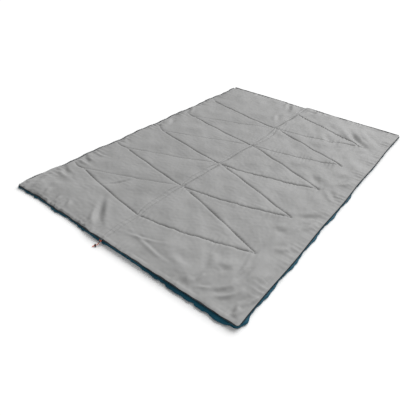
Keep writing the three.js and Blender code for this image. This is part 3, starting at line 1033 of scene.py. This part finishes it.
def add_coil(side, side_name):
    """A nylon coil: one filament wound flat along the tape's edge."""
    node = side_name + "_zip_coil"
    line = zip_line(side, COIL_INSET, slider_end(side, node), ZIP_END_Y, 0.002)
    line = resampled(line, COIL_PITCH / COIL_TURN_POINTS)
    along = directions(line)
    across = np.stack([along[:, 1], -along[:, 0]], 1) * side
    angle = TURN * np.arange(len(line)) / COIL_TURN_POINTS
    radial = np.column_stack([across * np.cos(angle)[:, None], np.sin(angle)])
    middle = np.column_stack([line, COIL_Z * lowered(line[:, 0], line[:, 1])])
    centre = middle + radial * COIL_REACH
    heading = directions(centre)
    radial = unit(radial - heading * (radial * heading).sum(1, keepdims=True))
    other = np.cross(heading, radial)
    sections = np.stack([centre + FILAMENT_RADIUS * (math.cos(a) * radial + math.sin(a) * other)
                         for a in TURN * np.arange(FILAMENT_SIDES) / FILAMENT_SIDES], 1)
    riding_piece(side_name + "_coil", *swept(sections), "zip_coil", COIL_PAINT, side_name + "_half", node)


SIDES = ((1, "right"), (-1, "left"))
for side, side_name in SIDES:
    add_tape(side, side_name)
    add_coil(side, side_name)


# ---- stitches
STITCH_RADIUS = 0.00042
STITCH_SIDES = 5
STITCH_SHAPE = ((-0.5, 0.30), (-0.38, 0.90), (0.38, 0.90), (0.5, 0.30))  # (share of length, of radius)
STITCH_STEP = 0.004  # between the points of a line of stitching before it is laid on the cloth


def stitches(name, lines, length, pitch):
    """Rows of short rounded stitches along 3-D lines, as one piece in place of both halves' own."""
    angles = TURN * np.arange(STITCH_SIDES) / STITCH_SIDES
    circle = np.stack([0 * angles, np.cos(angles), np.sin(angles)], 1)
    shape, shape_faces = swept([(share * length, 0, 0) + STITCH_RADIUS * swell * circle
                                for share, swell in STITCH_SHAPE])
    points, faces = [], []
    for line in lines:
        centres = resampled(line, pitch)
        heading = directions(centres)
        flat = unit(np.stack([-heading[:, 1], heading[:, 0], 0 * heading[:, 0]], 1))
        upward = np.cross(heading, flat)
        for centre, *axes in zip(centres, heading, flat, upward):
            faces += [tuple(i + len(points) * len(shape) for i in face) for face in shape_faces]
            points.append(centre + shape @ np.array(axes))
    piece = mesh_piece(name, np.vstack(points), faces, "thread", THREAD_PAINT)
    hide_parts("right_" + name, "left_" + name)
    return piece


def on_surface(line, surface, from_above, lift):
    heights = [height_on(surface, x, y, from_above) for x, y in line]
    return np.array([(x, y, z + lift) for (x, y), z in zip(line, heights) if z is not None])


def both_faces(lines):
    """The same seam lines on the lining and under the shell."""
    over = [on_surface(line, lining_surface, True, 0.0003) for line in lines]
    under = [on_surface(line, shell_surface, False, -0.0001) for line in lines]
    return [line for line in over + under if len(line) > 2]


band_y = np.arange(-HALF_LENGTH + 0.03, HALF_LENGTH - 0.03, STITCH_STEP)
band_lines = [np.stack([band_edge(band_y, side), band_y], 1) for side in (-1, 1)]
quilting_lines = [seam.points(STITCH_STEP) for seam in SEAMS]
quilting = stitches("quilting_thread", both_faces(quilting_lines), 0.0036, 0.0050)
fold_rows = stitches("fold_stitching", both_faces(band_lines), 0.0034, 0.0046)


# ---- head hem
HEM_INSET = 0.0060
# Across the binding: (how far towards the head, height).
HEM_PROFILE = [
    (0.0030, 0.0195), (0.0042, 0.0210), (0.0038, 0.0226), (0.0020, 0.0238), (-0.0030, 0.0250),
    (-0.0085, 0.0268), (-0.0092, 0.0260), (-0.0085, 0.0246), (-0.0020, 0.0200), (0.0010, 0.0190),
]


def add_head_hem():
    """The woven binding folded over the head edge, from one zip end to the other."""
    end_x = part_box("right_head_hem")[1].x
    drawn_x = np.arange(-end_x, end_x, 0.005)
    x, y = laid(drawn_x, np.full(len(drawn_x), HALF_LENGTH - HEM_INSET))
    levels, swells = lowered(x, y), 0.0007 * waves(drawn_x, 0 * drawn_x, 0.09, 31)
    sections = [np.array([(place_x, place_y + out, z * level + swell) for out, z in HEM_PROFILE])
                for place_x, place_y, level, swell in zip(x, y, levels, swells)]
    piece = mesh_piece("head_hem", *swept(sections), "hem_cloth", HEM_PAINT)
    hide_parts("right_head_hem", "left_head_hem")
    return piece


head_hem = add_head_hem()


# ---- zip stops, slider, tab and grip
STOP_SIZE = np.array([0.0040, 0.0030, 0.0032])
STOP_SIDES = 12
# Along a stop: (share of its length, share of its width); the jaws are pinched in at the middle.
STOP_RINGS = [(-0.5, 0.70), (-0.38, 0.95), (-0.12, 1.0), (0.0, 0.86), (0.12, 1.0), (0.38, 0.95), (0.5, 0.70)]


def add_top_stop(side, side_name):
    """A crimped metal stop: a small block with rounded, pinched-in jaws."""
    x, y = laid(np.array(side * (HALF_WIDTH - COIL_INSET)), np.array(ZIP_END_Y + 0.0014))
    z = COIL_Z * lowered(x, y)
    angle = TURN * np.arange(STOP_SIDES) / STOP_SIDES
    across, upward = np.cos(angle), np.sin(angle)
    reach = 0.5 / np.maximum(np.abs(across), np.abs(upward)) ** 0.7
    outline = np.stack([across * reach, 0 * reach, -upward * reach], 1)
    sections = [(x, y, z) + STOP_SIZE * (swell * outline + (0, along, 0)) for along, swell in STOP_RINGS]
    riding_piece(side_name + "_top_stop", *swept(sections), "zip_coil", STOP_PAINT, side_name + "_half",
                 side_name + "_zip_top_stop")


for side, side_name in SIDES:
    add_top_stop(side, side_name)
for node, paint in (("zip_bottom_stop", STOP_PAINT), ("slider_body", SLIDER_PAINT),
                    ("pull_tab", GRIP_PAINT), ("pull_grip", GRIP_PAINT)):
    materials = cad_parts[node].data.materials
    materials.clear()
    materials.append(paint.material)


# ---- fix the cloth pieces in place, and hide the CAD cloth they stand in for
for cloth in (lining, shell, batting, quilting, fold_rows, head_hem):
    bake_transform(cloth)
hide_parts("right_lining", "left_lining")
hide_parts("right_outer_shell", "left_outer_shell")
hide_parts("right_insulation", "left_insulation")
